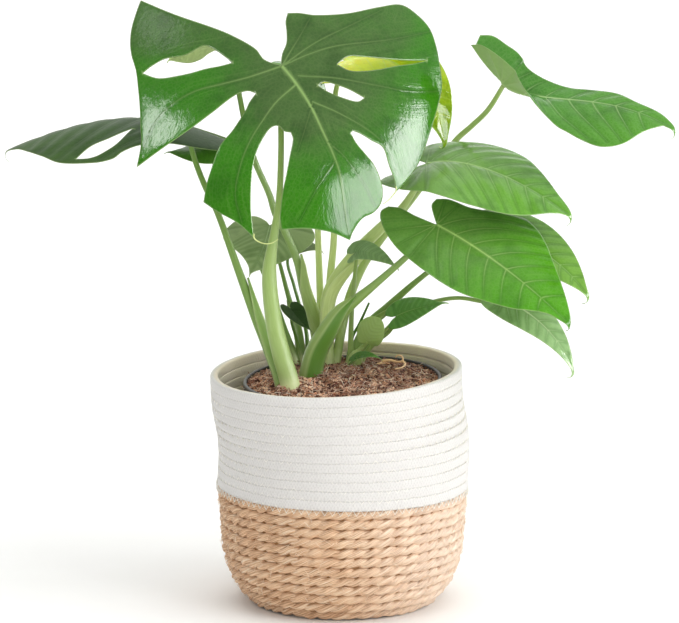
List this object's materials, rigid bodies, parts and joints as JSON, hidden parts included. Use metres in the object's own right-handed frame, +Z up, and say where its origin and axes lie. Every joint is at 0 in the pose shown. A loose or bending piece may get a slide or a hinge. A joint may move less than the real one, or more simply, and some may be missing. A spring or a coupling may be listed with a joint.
{
  "type": "potted swiss cheese plant",
  "caption": "Leafy Monstera houseplant with split, holed blades on long stems, in a nursery pot inside a round two-tone rope basket, to stand on a floor or shelf as decoration",
  "frame": {"origin": "centre of the basket's flat foot, on the surface that it stands on", "axes": "+Z up, +X to the right of someone who faces the large split leaf, and -Y toward them; the leaves spread widest along X"},
  "size_m": [0.6686, 0.2811, 0.6033],
  "materials": {
    "cotton_rope": "matte",
    "seagrass_rope": "matte",
    "black_plastic": "satin",
    "coir_soil": "matte",
    "leaf_stem": "satin",
    "leaf": "gloss",
    "young_leaf": "satin"
  },
  "bodies": {
    "root": {"basket_cotton": "cotton_rope", "basket_seagrass": "seagrass_rope", "nursery_pot": "black_plastic", "soil": "coir_soil", "stems_back": "leaf_stem", "stems_centre": "leaf_stem", "stems_front": "leaf_stem", "stems_left": "leaf_stem", "stems_right": "leaf_stem", "blade_back": "leaf", "blade_behind": "leaf", "blade_curl": "leaf", "blade_dark": "leaf", "blade_disc": "young_leaf", "blade_dusk": "leaf", "blade_grey": "leaf", "blade_hanging": "leaf", "blade_heart": "leaf", "blade_hidden": "leaf", "blade_left": "leaf", "blade_lime": "young_leaf", "blade_main": "leaf", "blade_middle": "leaf", "blade_pale": "leaf", "blade_soil": "leaf", "blade_under": "leaf", "blade_upright": "leaf"}
  },
  "joints": []
}
